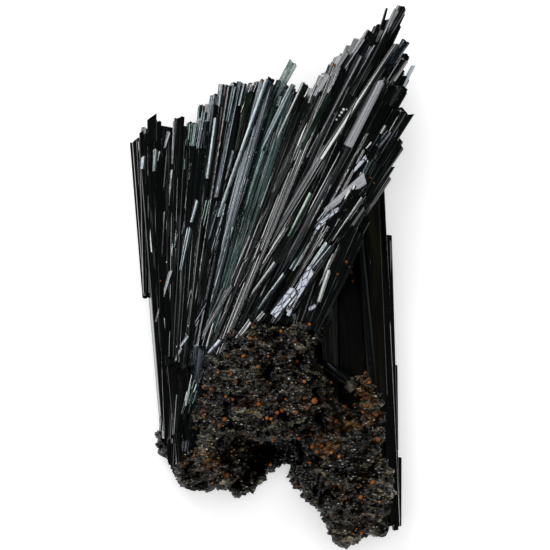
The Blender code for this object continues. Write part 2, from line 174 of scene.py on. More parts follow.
# Surface blades, on a plan of small squares counted from its upper left corner: tip, root, widths there in
# squares, shine (1 turns the face to the key light, 0 or less turns it away), lift in mm above the crystals
# below, finish, and the usual width of its laths in mm where it is split
PLAN_SQUARE = 0.2226
PLAN_ORIGIN = (273.4, 276.1)
SURFACE_BLADES = [
    # left bundle
    ((144, 132), (146, 300), 9, 8, 0.1, 0.3, "black", 1.5), ((152, 118), (151, 300), 9, 7, 0, 0.4, "black", 1.2),
    ((158, 121), (157, 285), 7, 6, 0.1, 0.3, "black", 0.8), ((137, 142), (144, 303), 3, 3, 1.6, 0.2, "smoky"),
    ((143, 127), (140, 152), 6, 3, 1, 1.2, "silver"), ((142, 157), (141, 169), 3.2, 2.6, 1, 1.4, "ice"),
    ((154, 149), (153, 172), 3.6, 2.6, 1, 1.4, "ice"), ((159, 151), (157, 161), 1.2, 1, 0.9, 0.8, "bright"),
    ((155, 121), (154, 140), 1.5, 1, 0.7, 0.8, "silver"), ((168, 131), (164, 148), 4.5, 1.5, 1, 1.2, "silver"),
    ((167, 153), (162, 205), 4, 3, 0.8, 0.6, "grey", 0.3), ((163, 213), (161, 258), 2.8, 2.2, 0.85, 0.5, "silver"),
    ((173, 122), (171, 165), 2.6, 2, 1, 1.2, "silver"), ((171, 170), (166, 230), 2, 2, 0.6, 0.6, "smoky"),
    ((177, 118), (172, 250), 5, 5, 0.15, 0.7, "smoky", 0.5), ((182, 117), (175, 240), 6, 5, 0, 0.9, "black", 1),
    ((192, 124), (182, 215), 12, 8, 0.3, 0.4, "teal", 0.35), ((186, 140), (184, 170), 3, 3, 0.7, 0.6, "teal", 0.25),
    ((196, 200), (190, 222), 4, 3, 1, 1.2, "ice", 0.6), ((188, 227), (180, 270), 5, 3.5, 1, 1.2, "ice", 0.6),
    ((177, 233), (170, 256), 4.5, 4, 0.8, 0.5, "ice", 0.4), ((190, 163), (184, 216), 3, 3, 0.8, 0.5, "grey", 0.4),
    ((180, 215), (170, 300), 6, 5, 0.2, 0.3, "smoky", 0.6), ((170, 271), (155, 322), 4, 2.4, 0.85, 0.5, "silver"),
    # centre fan
    ((204, 112), (182, 235), 7, 5, 0.7, 0.4, "steel", 0.25), ((213, 96), (193, 230), 9, 6, 0.75, 0.4, "steel", 0.25),
    ((222, 84), (203, 235), 9, 6, 0.8, 0.5, "steel", 0.3), ((214, 118), (206, 180), 2, 3.4, 1, 1.2, "ice"),
    ((228, 86), (212, 190), 5, 4, 0, 0.4, "black", 0.8), ((233, 86), (226, 122), 4, 3, 0.9, 1, "ice", 0.6),
    ((238, 81), (214, 200), 4, 6, 0.9, 1.2, "steel", 0.5), ((243, 84), (238, 106), 2.5, 2.5, 1, 1.2, "ice"),
    ((250, 82), (239, 112), 4, 3, 1, 1.2, "bright", 0.7), ((251, 92), (234, 160), 6.5, 5, 0, 0.5, "green", 1.4),
    ((233, 150), (216, 210), 4, 3.5, 0.85, 0.5, "steel", 0.4), ((266, 79), (217, 217), 5, 6, 1, 1.6, "ice", 1),
    ((258, 81), (249, 104), 4, 3, 0.85, 0.7, "grey", 0.6), ((272, 79), (245, 152), 7, 5, 0, 0.5, "black", 0.8),
    ((278, 80), (262, 122), 4, 3, 0.6, 0.6, "teal", 0.4), ((291, 84), (248, 172), 4, 7, 1, 1.6, "ice", 1),
    ((262, 150), (234, 238), 7, 6, 0.75, 0.6, "teal", 0.3), ((302, 82), (264, 162), 4, 7, 1, 1.2, "bright", 0.8),
    ((306, 84), (256, 195), 7, 6, 0, 0.5, "black", 1.5), ((258, 180), (238, 240), 6, 5, 0, 0.3, "black", 1),
    ((246, 178), (226, 245), 5, 5, 0.5, 0.5, "steel", 0.3), ((228, 205), (200, 290), 8, 6, 0.6, 0.4, "steel", 0.3),
    ((216, 200), (192, 290), 8, 6, 0.5, 0.4, "steel", 0.3), ((206, 200), (184, 300), 7, 6, 0.35, 0.4, "teal", 0.3),
    ((232, 226), (210, 300), 7, 6, 0.6, 0.4, "teal", 0.25), ((216, 285), (182, 345), 7, 6, 0.45, 0.4, "steel", 0.3),
    ((200, 270), (182, 330), 8, 6, 0.1, 0.2, "smoky", 0.5), ((187, 334), (177, 348), 5.5, 4.5, 1, 0.5, "ice", 0.5),
    ((181, 347), (174, 362), 4, 3, 0.9, 0.5, "bright", 0.5), ((190, 290), (186, 310), 1.6, 1.4, 0.9, 0.5, "silver"),
    ((169, 318), (168, 368), 1.6, 1.4, 0.6, 0.4, "silver"), ((164, 318), (166, 368), 1.4, 1.2, 0.5, 0.3, "silver"),
    # right spray, upper
    ((316, 85), (272, 192), 6, 5, 0.55, 0.5, "grey", 0.3), ((310, 98), (270, 195), 3, 3, 0.8, 0.6, "grey", 0.4),
    ((322, 92), (290, 160), 6, 6, 0, 0.4, "smoky", 0.8), ((328, 73), (314, 96), 5, 5, 0.85, 1.2, "silver"),
    ((346, 52), (316, 100), 5, 6, 0.9, 1.2, "silver"), ((363, 37), (328, 90), 5, 6, 0.9, 1.4, "silver"),
    ((331, 84), (301, 143), 2.6, 2.4, 1, 1, "bright"), ((371, 35), (304, 152), 10, 6, -0.1, 0.9, "black"),
    ((331, 93), (301, 152), 6, 6, -0.1, 1, "green"), ((360, 55), (306, 158), 2, 4, 1, 1.8, "bright"),
    ((318, 133), (306, 157), 1.5, 1.5, 0.9, 1.1, "bright"), ((373, 48), (352, 88), 10, 5, 0.6, 1.1, "steel", 0.35),
    ((378, 50), (328, 134), 9, 8, -0.1, 0.9, "black"), ((405, 7), (354, 98), 7.5, 5.5, -0.2, 1.8, "black"),
    ((394.5, 10), (374.5, 53), 6, 3.5, 1, 2.9, "silver"), ((380, 26), (366, 56), 7, 6, 0, 1.1, "black", 0.8),
    ((387, 9), (381, 30), 2, 3, 0, 1.3, "black"), ((394, 43), (318, 160), 4, 11, 1, 1.6, "bright", 0.9),
    ((326, 146), (264, 250), 9, 14, 1, 1, "bright", 0.3), ((386, 68), (338, 142), 6, 5, 0, 1.1, "green", 1.4),
    ((405, 40), (378, 82), 9, 6, 0.75, 1, "steel", 0.35), ((402.5, 59), (381, 93), 7, 6, 0.6, 1, "grey", 0.4),
    ((379.5, 80), (345.5, 148), 10, 18, 0.95, 3.4, "silver"), ((407, 17), (397, 32), 1, 1, 0.6, 1.7, "frost"),
    ((394, 87), (350, 172), 8, 7, 0.1, 0.7, "black", 0.9), ((404, 91), (360, 172), 9, 7, -0.1, 0.7, "black", 1.2),
    ((402, 111), (364, 178), 8, 6, 0.3, 0.6, "smoky", 0.6), ((394, 130), (374, 176), 8, 6, 0, 0.5, "black", 1),
    ((394, 126), (390, 137), 4.5, 4, 0.1, 0.5, "pale"), ((388, 131), (376, 147), 6, 5, 0.7, 0.8, "steel", 0.3),
    # right spray, lower
    ((366, 156), (353, 171), 3.6, 3, 1, 1, "plate"), ((371, 142), (366, 148), 2, 1.5, 1, 1, "bright"),
    ((368, 160), (361, 176), 3, 2.4, 0.8, 0.9, "ice"), ((364, 178), (324, 211), 12, 9, 1, 1.2, "silver"),
    ((345, 203), (318, 224), 4, 3, 1, 1, "plate"), ((334, 211), (316, 229), 3.6, 3, 1, 1, "plate"),
    ((331, 205), (314, 226), 5, 4, 0.8, 0.9, "ice", 0.5), ((358, 197), (328, 226), 6, 5, -0.1, 0.7, "black", 1),
    ((361, 204), (337, 238), 9, 9, 0.1, 0.8, "green", 1.4), ((361, 197), (332, 240), 1.6, 1.4, 0.95, 1, "bright"),
    ((339, 218), (335, 226), 3, 2.4, 1, 1, "bright"), ((352, 225), (328, 262), 8, 8, 0.15, 0.6, "smoky", 0.7),
    ((341, 151), (276, 276), 4, 12, 1, 1.2, "bright", 0.6), ((310, 193), (288, 236), 3.2, 3, 0.6, 0.9, "pale", 0.6),
    ((345, 152), (322, 200), 8, 7, 0, 0.6, "black", 0.9), ((322, 200), (296, 252), 7, 6, 0.3, 0.5, "smoky", 0.4),
    ((312, 232), (290, 270), 6, 6, 0.6, 0.7, "ice", 0.3), ((300, 215), (270, 275), 5, 5, 0, 0.5, "black", 0.8),
    ((296, 160), (262, 225), 6, 6, 0.2, 0.5, "smoky", 0.4), ((282, 178), (240, 262), 6, 6, 0.5, 0.5, "grey", 0.3),
    ((250, 236), (228, 288), 4.5, 6, 1, 1.2, "bright", 0.6), ((230, 285), (188, 358), 4, 6, 1, 1.2, "bright", 0.6),
    ((223, 288), (204, 330), 4, 3.6, 1, 1.2, "bright", 0.6), ((270, 226), (243, 262), 4, 4, 0.85, 0.7, "grey", 0.35),
    ((286, 226), (229, 317), 4, 4.4, 0.9, 0.7, "grey", 0.3), ((275, 262), (235, 316), 4, 4, 0.95, 0.7, "bright", 0.35),
    ((262, 250), (222, 320), 5, 5, 0.1, 0.5, "smoky", 0.5), ((284, 273), (247, 323), 4.4, 5.2, 1, 1, "ice", 0.6),
    ((292, 262), (256, 312), 5, 5, 0.1, 0.5, "black", 0.8), ((328, 243), (300, 282), 9, 7, 1, 1, "ice", 1.2),
    ((310, 270), (286, 313), 10, 9, 1, 0.9, "plate"), ((294, 288), (272, 316), 9, 8, 1, 0.9, "plate"),
    ((300, 288), (287, 315), 4, 3.6, 0.95, 0.9, "plate"), ((264, 311), (249, 329), 5, 4.6, 1, 1, "bright", 0.8),
    ((249, 320), (233, 342), 6, 5, 1, 1, "bright", 0.8), ((221, 338), (208, 353), 4.4, 3.4, 1, 1.2, "plate"),
    ((316, 304), (309, 309), 4, 4, 1, 1, "plate"), ((328, 269), (317, 302), 7, 7, 0.3, 0.8, "pale", 0.8),
    ((350, 258), (322, 318), 12, 11, 0.25, 0.5, "smoky", 1.5), ((338, 245), (316, 290), 6, 6, 0.4, 0.6, "smoky", 0.5),
    # root
    ((172, 366), (180, 466), 10, 10, 0.1, 0.6, "ebony", 1.6), ((184, 368), (188, 440), 9, 8, 0.25, 0.5, "ebony", 1.4),
    ((162, 396), (160, 432), 6, 5, 0.9, 0.4, "bright", 0.5),
    # edge and wedge
    ((359, 222), (380, 440), 6, 8, 0.2, 0.4, "smoky", 0.35), ((371, 170), (391, 531), 15, 9, 0, 0.4, "umber"),
    ((364, 172), (384, 480), 5, 5, 0.2, 0.4, "ebony", 0.6), ((383, 180), (395, 400), 2, 2, 0, 0.4, "ebony"),
    ((390, 236), (399, 528), 4, 5, 0, 0.1, "ebony"), ((327, 320), (322, 333), 1.2, 1, 1, 0.4, "bright"),
    ((331, 321), (326, 334), 1, 1, 0.9, 0.4, "silver"), ((303, 340), (346, 431), 4, 4, 0.1, 0.4, "ebony"),
]
# On the same plan, with radii in squares: white balls that stand for glints on the crystals (painted highlights), rust
# on the crystals, larger beads on the rock
GLINT_BALLS = [
    (343, 111, 1.6), (341, 114, 1.4), (339, 117, 1.2), (336, 121, 1), (346, 111, 0.8), (334, 115, 0.6),
    (345, 92, 0.7), (233, 85, 1.1), (231, 83, 0.9), (229, 86, 0.8), (188, 326, 0.8), (166, 262, 0.7),
]
RUST_SPOTS = [
    (262, 81, 1.6), (259, 80, 1), (334, 67, 1.4), (340, 58, 1), (346, 262, 1.8), (352, 272, 2.2),
    (349, 267, 1.2), (337, 274, 1.4), (354, 281, 1.2), (373, 184, 1), (370, 179, 0.8), (160, 281, 0.9),
]
LARGE_BEADS = [
    (228, 356, 2.2), (236, 381, 2.4), (204, 387, 2.4), (229, 371, 1.6), (259, 403, 3), (282, 409, 2.8),
    (314, 400, 3.2), (214, 422, 2), (225, 419, 2.6), (220, 425, 2.4), (310, 434, 2.2), (336, 421, 2.4),
    (227, 476, 2.6), (234, 481, 2), (267, 417, 2), (296, 411, 2), (307, 407, 2), (297, 361, 2),
    (300, 352, 1.6), (281, 331, 1.8), (251, 338, 1.8), (258, 366, 1.6), (309, 324, 1.8), (350, 409, 2.2),
    (184, 453, 2.4), (224, 475, 2.2), (358, 400, 2), (363, 412, 1.8), (300, 440, 2.4), (317, 452, 2.6),
    (322, 446, 2.2), (312, 447, 2), (339, 456, 2), (331, 452, 1.8), (310, 464, 2), (205, 411, 2),
    (226, 396, 1.8), (233, 399, 1.6), (218, 372, 1.4), (231, 374, 1.6), (252, 411, 1.8), (304, 397, 1.8),
]

# Cuts that shape a lath's far end, by the directions that they face, and the cut at its near end
CROWNS = [
    [(0.4, 1.0, -0.3)],
    [(-0.9, 1.0, -0.2), (0.6, 1.0, -0.4)],
    [(0.2, 1.0, -0.5)],
    [(-0.4, 1.0, -0.1), (0.9, 1.0, -0.3)],
    [(1.0, 1.0, -0.3), (-0.5, 1.0, -0.1)],
    [(-0.7, 1.0, -0.4)],
]
NEAR_CUT = (0.1, -1, 0.1)

# Rock: plan places and reaches of rusty crust and of pale grains, hollows with their two half widths and
# depth (bulges where that is negative), and the small beads of rust
ROCK_VOXEL = 0.345
CRUST_SPOTS = [((14.6, -34.5), 6.0), ((21.4, -28.0), 6.5), ((-16.0, -41.5), 5.0), ((9.5, -38.5), 4.0)]
PALE_SPOTS = [((7.6, -13.2), 3.6), ((-5.6, -33.0), 4.2), ((-14.4, -38.5), 3.6), ((-17.0, -33.0), 3.0)]
HOLLOWS = [
    ((2.0, -40.5), (9.5, 4.2), 3.6), ((10.8, -32.2), (1.9, 1.7), 3.0),
    ((26.0, -50.0), (5.5, 12.0), -2.6), ((18.5, -58.0), (8.0, 4.5), -1.6),
]
BEADS = 200
BEAD_SEED = 7
BEAD_RADII = [0.18, 0.2, 0.25, 0.3, 0.36, 0.5]

# Crystals: index of refraction, colours of the painted highlight lines and painted glints on the laths, and of cracks
CRYSTAL_IOR = 1.61
# Painted highlight: thin light lines along the laths
PAINTED_HIGHLIGHT_LINE_COLOUR = (0.26, 0.27, 0.29)
# Painted glints: small light flecks on the laths
PAINTED_GLINT_COLOUR = (0.34, 0.40, 0.44)
CRACK_COLOUR = (0.003, 0.003, 0.003)


# Shapes

def select_only(*objects):
    """Goes to object mode with these objects selected and the first one active."""
    if bpy.context.object and bpy.context.object.mode != "OBJECT":
        bpy.ops.object.mode_set(mode="OBJECT")
    bpy.ops.object.select_all(action="DESELECT")
    for obj in objects:
        obj.select_set(True)
    if objects:
        bpy.context.view_layer.objects.active = objects[0]


def apply_modifier(obj, kind, **settings):
    modifier = obj.modifiers.new(kind, kind)
    for key, value in settings.items():
        setattr(modifier, key, value)
    bpy.ops.object.modifier_apply(modifier=modifier.name)


def add_object(name, mesh):
    obj = bpy.data.objects.new(name, mesh)
    bpy.context.scene.collection.objects.link(obj)
    return obj


def dress(obj, material):
    obj.data.materials.clear()
    obj.data.materials.append(material)


def join(name, objects):
    """One piece from many objects, named and alone in the selection."""
    select_only(*objects)
    bpy.ops.object.join()
    objects[0].name = objects[0].data.name = name
    return objects[0]


def model_lath(name, cuts):
    """A lath one unit wide, deep and long, running along Y, with ground edges and a cut far end."""
    select_only()
    bpy.ops.mesh.primitive_cube_add(size=1, location=(0, 0.9, 0))
    lath = bpy.context.object
    lath.name = name
    lath.scale = (1, 3.4, 1)
    bpy.ops.object.transform_apply(location=True, rotation=True, scale=True)
    for edge in lath.data.edges:
        first, second = (lath.data.vertices[i].co for i in edge.vertices)
        edge.select = abs(first.y - second.y) > 1
    for part in (*lath.data.vertices, *lath.data.polygons):
        part.select = False
    bpy.ops.object.mode_set(mode="EDIT")
    bpy.ops.mesh.select_mode(type="EDGE")
    bpy.ops.mesh.bevel(offset=LATH_EDGE, segments=1, affect="EDGES")
    for place, facing in [((0, 1, 0), cut) for cut in cuts] + [((0, 0, 0), NEAR_CUT)]:
        bpy.ops.mesh.select_all(action="SELECT")
        bpy.ops.mesh.bisect(plane_co=place, plane_no=facing, clear_outer=True, use_fill=True)
    bpy.ops.mesh.select_all(action="SELECT")
    bpy.ops.mesh.normals_make_consistent(inside=False)
    bpy.ops.object.mode_set(mode="OBJECT")
    lath.data.uv_layers.new(name="grain")
    lath.data.uv_layers.new(name="tone")
    return lath


def corners_of(mesh):
    values = np.empty(len(mesh.vertices) * 3)
    mesh.vertices.foreach_get("co", values)
    return values.reshape(-1, 3)


def sides_of(axis, roll):
    """The direction across a rolled blade, and the one that its upper face looks in."""
    side = axis.cross(UP).normalized()
    side = Matrix.Rotation(math.radians(roll), 3, axis) @ side
    return side, side.cross(axis)


def mix(low, high, share):
    return low + (high - low) * share


def place_lath(pattern, lath):
    """A copy of a pattern lath, drawn out from its root to its tip."""
    mesh = pattern.data.copy()
    unit = corners_of(mesh)
    root, tip = lath["root"], lath["tip"]
    length = (tip - root).length
    axis = (tip - root) / length
    side, front = sides_of(axis, lath["roll"])
    share = (unit[:, 1] > 0.5).astype(float)
    beyond = unit[:, 1] - share
    wide, deep = mix(*lath["widths"], share), mix(*lath["depths"], share)
    along_axis = share * length + beyond * wide
    across, through = unit[:, 0] * wide, unit[:, 2] * deep
    places = np.array(root) + np.outer(along_axis, axis) + np.outer(across, side) + np.outer(through, front)
    mesh.vertices.foreach_set("co", (places * MM).ravel())

    corners = np.empty(len(mesh.loops), dtype=int)
    mesh.loops.foreach_get("vertex_index", corners)
    crosswise = unit[:, 0] * lath["widths"][1] + 0.7 * unit[:, 2] * lath["depths"][1]
    grain = np.column_stack([crosswise + lath["shift"][0], along_axis + lath["shift"][1]])[corners]
    mesh.uv_layers["grain"].data.foreach_set("uv", grain.ravel())
    mesh.uv_layers["tone"].data.foreach_set("uv", np.tile(lath["tone"], len(corners)))
    mesh.update()
    return add_object("lath", mesh)


def build_laths(name, laths, patterns, finishes):
    placed = [place_lath(patterns[lath["crown"]], lath) for lath in laths]
    for obj, lath in zip(placed, laths):
        dress(obj, finishes[lath["finish"]])
    return join(name, placed)


def along(line, share):
    """The point at this share of the way along a polyline, with equal shares for its segments."""
    place = min(max(share, 0.0), 1.0) * (len(line) - 1)
    index = min(int(place), len(line) - 2)
    return Vector(line[index]).lerp(Vector(line[index + 1]), place - index)


def depth_at(line, share):
    return along([(height, 0.0) for height in line], share).x


def spray_blades(plan):
    """Blades in a grid of columns and layers, from a root line to a tip line, each a little its own way."""
    rng = random.Random(plan["seed"])
    columns = plan["columns"]
    half_step = 0.5 / columns
    blades = []
    for column, layer in itertools.product(range(columns), range(LAYERS)):
        share = (column + 0.5 + rng.uniform(-0.2, 0.2)) / columns
        depth = (layer + 0.5) / LAYERS
        low_root, high_root, low_tip, high_tip = (
            depth_at(line, share) for line in (*plan["root_depth"], *plan["tip_depth"])
        )
        root = Vector((*along(plan["roots"], share), mix(low_root, high_root, depth)))
        tip = Vector((*along(plan["tips"], share), mix(low_tip, high_tip, depth)))
        begin = rng.uniform(0.18, 0.38) if (column + layer) % 2 else 0.0
        short = max(0.012, abs(2 * depth - 1) * rng.uniform(0.02, 0.12))
        spacing = (along(plan["tips"], share + half_step) - along(plan["tips"], share - half_step)).length
        width = max(spacing, 2.2) * rng.uniform(1.15, 1.5)
        thickness = (high_tip - low_tip) / LAYERS * rng.uniform(1.05, 1.3)
        ends = root.lerp(tip, begin), root.lerp(tip, 1 - short)
        blades.append(crystal(*ends, (width, thickness), rng.uniform(-28, 28), None))
        for _ in range(2):
            rng.random()  # two draws between blades that nothing uses
    return blades


def split_width(rng, total, narrow, wide):
    """Random widths, in shares, for laths that fill a blade."""
    widths = []
    while sum(widths) < total:
        widths.append(rng.uniform(narrow, wide) * rng.choice([0.5, 0.8, 1.0, 1.3, 2.2]))
    return [width / sum(widths) for width in widths]


def section_height(across):
    """Half the blade's thickness, as a share, at this share of its width from the middle."""
    outside = max(0.0, abs(across) - FLAT_SHARE) / (0.5 - FLAT_SHARE)
    return 0.5 - 0.36 * outside


def laths_of(blade, rng, usual_widths, ragged, wander=2.0):
    """The parallel laths, in a lower and an upper row, that one blade is made of, with tips as ragged as given."""
    root, tip = Vector(blade["root"]), Vector(blade["tip"])
    side, front = sides_of((tip - root).normalized(), blade["roll"])
    length = (tip - root).length
    width, thickness = blade["size"]
    root_width, root_thickness = blade.get("root_size", (width * ROOT_SHARE, thickness * ROOT_SHARE))
    finish_tone = rng.random()
    narrow, wide = blade.get("split", usual_widths)
    can_recess = narrow <= WIDEST_LATH and blade["finish"] != "ebony"
    laths = []
    edge = -0.5
    for part in split_width(rng, width, narrow, wide):
        across = edge + part / 2
        edge += part
        for level in blade.get("levels", (-0.5, 0.5)):
            half = section_height(across)
            low = root + side * across * root_width + front * level * half * root_thickness
            high = tip + side * across * width + front * level * half * thickness
            high += front * rng.gauss(0, 0.06)
            turn = 0
            if can_recess and rng.random() < DEEPER_LATHS:
                low -= front * 0.25
                high -= front * 0.35
                turn = rng.uniform(14, 34) * min(1, 1.3 / thickness)
            short = ragged / length * (rng.betavariate(1, 4) - 0.1 if rng.random() < 0.35 else rng.uniform(0, 0.15))
            begin = rng.uniform(0.0, 0.05)
            laths.append({
                "root": low.lerp(high, begin),
                "tip": low.lerp(high, 1 - short),
                "widths": (root_width * part * OVERLAP, width * part * OVERLAP),
                "depths": (root_thickness * half * ROW_OVERLAP, thickness * half * ROW_OVERLAP),
                "roll": blade["roll"] + rng.gauss(0, wander) + turn,
                "shift": (rng.uniform(0, 900), rng.uniform(0, 900)),
                "tone": (min(1.0, max(0.0, finish_tone + rng.gauss(0, 0.15))), rng.random()),
                "crown": rng.randrange(len(CROWNS)),
                "finish": blade["finish"],
            })
    return laths


def cut_at_line(lath, line, past=0.7):
    """Shortens a lath that stands out past the rising side of a tip line."""
    across, up = zip(*line)
    for step in range(40, 20, -1):
        place = lath["root"].lerp(lath["tip"], step / 40)
        if place.y <= np.interp(place.x, across, up) + past:
            lath["tip"] = place
            return


def surface_height(nodes, x, y, from_above=True):
    """Height of the nodes' outer surface above or below a place, or None beside them."""
    up = 1 if from_above else -1
    heights = []
    for node in nodes:
        hit, place, _, _ = node.ray_cast(Vector((x * MM, y * MM, up * PROBE_START)), Vector((0, 0, -up)))
        if hit:
            heights.append(place.z / MM)
    return up * max(up * height for height in heights) if heights else None


def lay_blade(nodes, start, end, widths, lift, finish, roll=None, shine=None, from_above=True, thickness=1.8):
    """A blade laid along the outer surface of the nodes, from its root over start to its tip over end."""
    found = []
    for step in range(PROBES):
        share = FIRST_PROBE + PROBE_STEP * step
        height = surface_height(nodes, *(Vector(start).lerp(Vector(end), share)), from_above)
        if height is not None:
            found.append((share, height))
    if len(found) < 3:
        return None
    shares, heights = zip(*found)
    if shine is not None:
        upper = [pair for pair in found if pair[1] > max(heights) - LAYER_STEP]
        if len(upper) > 2:
            shares, heights = zip(*upper)
    slope, base = np.polyfit(shares, heights, 1)
    steepest = -STEEPEST_FALL * math.dist(start, end)
    if shine is not None and slope < steepest:
        slope = steepest
        base = np.mean(heights) - slope * np.mean(shares)
    up = 1 if from_above else -1
    if shine is not None:
        bumps = up * (np.array(heights) - base - slope * np.array(shares))
        low_side, high_side = np.percentile(bumps, (20, 75))
        base += high_side
        thickness += min(1.6, high_side - low_side)
    sink = (lift - 0.5 * thickness) * up
    if min(base, base + slope) + sink < 0.8 * thickness:
        return None
    root, tip = (*start, base + sink), (*end, base + slope + sink)
    if shine is not None:
        root, tip, roll = turn_to_light(root, tip, shine, float(thickness))
    roll = roll if from_above else roll + 180
    sizes = (widths[0], thickness), (widths[1], thickness * 0.8)
    return crystal(root, tip, sizes[0], roll, finish, root_size=sizes[1], levels=(0.0,))


def turn_to_light(root, tip, shine, thickness):
    """Root, tip and roll of a laid blade whose upper face lies over its plan and mirrors the key light as it should."""
    root, tip = under_camera(root), under_camera(tip)
    length = math.dist(root, tip)
    if shine > 0.8 and length < SHORT_BLADE:
        middle, rise = (root[2] + tip[2]) / 2, shining_rise(root, tip)
        root, tip = (*root[:2], middle - rise / 2), (*tip[:2], middle + rise / 2)
    root = (*root[:2], root[2] - ROOT_DIP * length)
    roll = roll_for(root, tip, shine)
    front = sides_of((Vector(tip) - Vector(root)).normalized(), roll)[1]
    aside = (front - UP) * thickness
    line = Vector((tip[0] - root[0], tip[1] - root[1], 0)).normalized()
    aside -= line * aside.dot(line)
    return Vector(root) - aside * 0.4, Vector(tip) - aside * 0.5, roll


def shining_face():
    """The direction of a face that mirrors the key light straight up."""
    return (Vector(KEY_PLACE).normalized() + UP).normalized()


def shining_rise(root, tip):
    """How far a blade's axis rises where its upper face can mirror the key light."""
    face = shining_face()
    return -((tip[0] - root[0]) * face.x + (tip[1] - root[1]) * face.y) / face.z


def roll_for(start, end, shine):
    """The roll of a blade that turns its face to the key light, or away from it where the shine is less."""
    axis = (Vector(end) - Vector(start)).normalized()
    side = axis.cross(shining_face())
    turn = math.degrees(side.angle(axis.cross(UP)))
    return (-turn if side.z > 0 else turn) + (13 if shine > 0.25 else 28) * (1 - shine)


def under_camera(place):
    """Where a place at focus height moves to at its own height, to look the same from the camera."""
    share = 1 - (place[2] - FOCUS_HEIGHT) * SENSOR / (PICTURE_WIDTH * LENS)
    return tuple(mix(middle, value, share) for middle, value in zip(PICTURE_CENTRE, place)) + (place[2],)


def plan_place(square):
    return ((square[0] - PLAN_ORIGIN[0]) * PLAN_SQUARE, (PLAN_ORIGIN[1] - square[1]) * PLAN_SQUARE)


def scattered_blades(node, plan, rng, count, from_above):
    """Small blades that lie at random over one side of a spray."""
    blades = []
    for _ in range(count):
        share = rng.random()
        root, tip = along(plan["roots"], share), along(plan["tips"], share)
        end = rng.uniform(0.9, 0.97) if rng.random() < 0.4 else rng.uniform(0.3, 0.95)
        begin = max(0.05, end - rng.uniform(0.15, 0.8))
        width = rng.uniform(0.7, 2.6) * mix(0.45, 1.0, end)
        blades.append(lay_blade(
            [node], tuple(root.lerp(tip, begin)), tuple(root.lerp(tip, end)), (width, width * 0.6),
            rng.uniform(-0.5, 0.2), rng.choice(plan["finishes"]),
            roll=rng.choice((-21, -21, 0)) + rng.uniform(-12, 12),
            from_above=from_above, thickness=rng.uniform(1.0, 2.0),
        ))
    return [blade for blade in blades if blade]


def surface_laths(ground, rng):
    """The laths of the surface blades, laid on the pieces below them."""
    laths = []
    for tip, root, tip_width, root_width, shine, lift, finish, *split in SURFACE_BLADES:
        usual = split[0] if split else WHOLE
        taper = 0.6 if math.dist(tip, root) > LONG_ROW else 1.0
        widths = (tip_width * PLAN_SQUARE, root_width * PLAN_SQUARE * taper)
        ends = plan_place(root), plan_place(tip)
        blade = lay_blade(ground, *ends, widths, lift, finish, shine=shine, thickness=lift + BODY)
        if blade:
            wander = (3.0 if shine > 0.85 else 6.0) if split else 0.0
            laths += laths_of(blade, rng, (0.7 * usual, 1.3 * usual), 0.5, wander)
    return laths


# Materials

class Nodes:
    """Adds and links shader nodes of one material."""

    def __init__(self, name):
        self.material = bpy.data.materials.new(name)
        self.material.use_nodes = True
        self.tree = self.material.node_tree
        self.shader = self.tree.nodes["Principled BSDF"]

    def put(self, target, value):
        if isinstance(value, bpy.types.NodeSocket):
            self.tree.links.new(value, target)
        else:
            target.default_value = value

    def surface(self, name, value):
        self.put(self.shader.inputs[name], value)

    def add(self, kind, values=None, **settings):
        """A new node with these settings, and with values or links for its sockets."""
        node = self.tree.nodes.new(kind)
        for key, value in settings.items():
            setattr(node, key, value)
        for key, value in (values or {}).items():
            self.put(node.inputs[key], value)
        return node

    def uv(self, layer):
        return self.add("ShaderNodeUVMap", uv_map=layer).outputs["UV"]

    def place(self):
        return self.add("ShaderNodeTexCoord").outputs["Object"]

    def vector(self, operation, first, second=None):
        values = {0: first} if second is None else {0: first, 1: second}
        return self.add("ShaderNodeVectorMath", values, operation=operation).outputs

    def stretch(self, vector, scale):
        return self.vector("MULTIPLY", vector, scale)["Vector"]

    def noise(self, vector, scale=1.0, detail=3.0, roughness=0.55, distortion=0.0):
        values = {"Vector": vector, "Scale": scale, "Detail": detail, "Roughness": roughness, "Distortion": distortion}
        return self.add("ShaderNodeTexNoise", values).outputs["Fac"]

    def cells(self, vector, scale, feature="F1"):
        return self.add("ShaderNodeTexVoronoi", {"Vector": vector, "Scale": scale}, feature=feature).outputs

    def chain(self, operation, first, others):
        for other in others:
            first = self.add("ShaderNodeMath", {0: first, 1: other}, operation=operation).outputs["Value"]
        return first

    def times(self, first, *others):
        return self.chain("MULTIPLY", first, others)

    def plus(self, first, *others):
        return self.chain("ADD", first, others)

    def span(self, value, low, high, to_low=0.0, to_high=1.0):
        """Maps the range low to high onto another, clamped."""
        values = {"Value": value, "From Min": low, "From Max": high, "To Min": to_low, "To Max": to_high}
        return self.add("ShaderNodeMapRange", values).outputs["Result"]

    def blend(self, share, first, second, kind="MIX"):
        first, second = (
            colour if isinstance(colour, bpy.types.NodeSocket) else (*colour, 1) for colour in (first, second)
        )
        values = {"Factor": share, "A": first, "B": second}
        return self.add("ShaderNodeMix", values, data_type="RGBA", blend_type=kind).outputs["Result"]

    def facets(self, mood, normal, amount):
        """Turns the normal of each cell its own way."""
        turned = self.vector("SUBTRACT", mood, (0.5, 0.5, 0.5))["Vector"]
        added = self.vector("ADD", self.stretch(turned, (amount, amount, amount)), normal)["Vector"]
        return self.vector("NORMALIZE", added)["Vector"]

    def near(self, place, spot, reach, top):
        """Rises to top at a spot of the plan, over a reach in millimetres."""
        flat = self.stretch(place, (1.0, 1.0, 0.0))
        away = self.vector("DISTANCE", flat, (spot[0] * MM, spot[1] * MM, 0.0))["Value"]
        return self.span(away, 0.35 * reach * MM, reach * MM, top, 0.0)

    def axis(self, vector, name):
        return self.add("ShaderNodeSeparateXYZ", {0: vector}).outputs[name]

    def bump(self, height, depth, strength=1.0):
        values = {"Strength": strength, "Distance": depth, "Height": height}
        return self.add("ShaderNodeBump", values).outputs["Normal"]


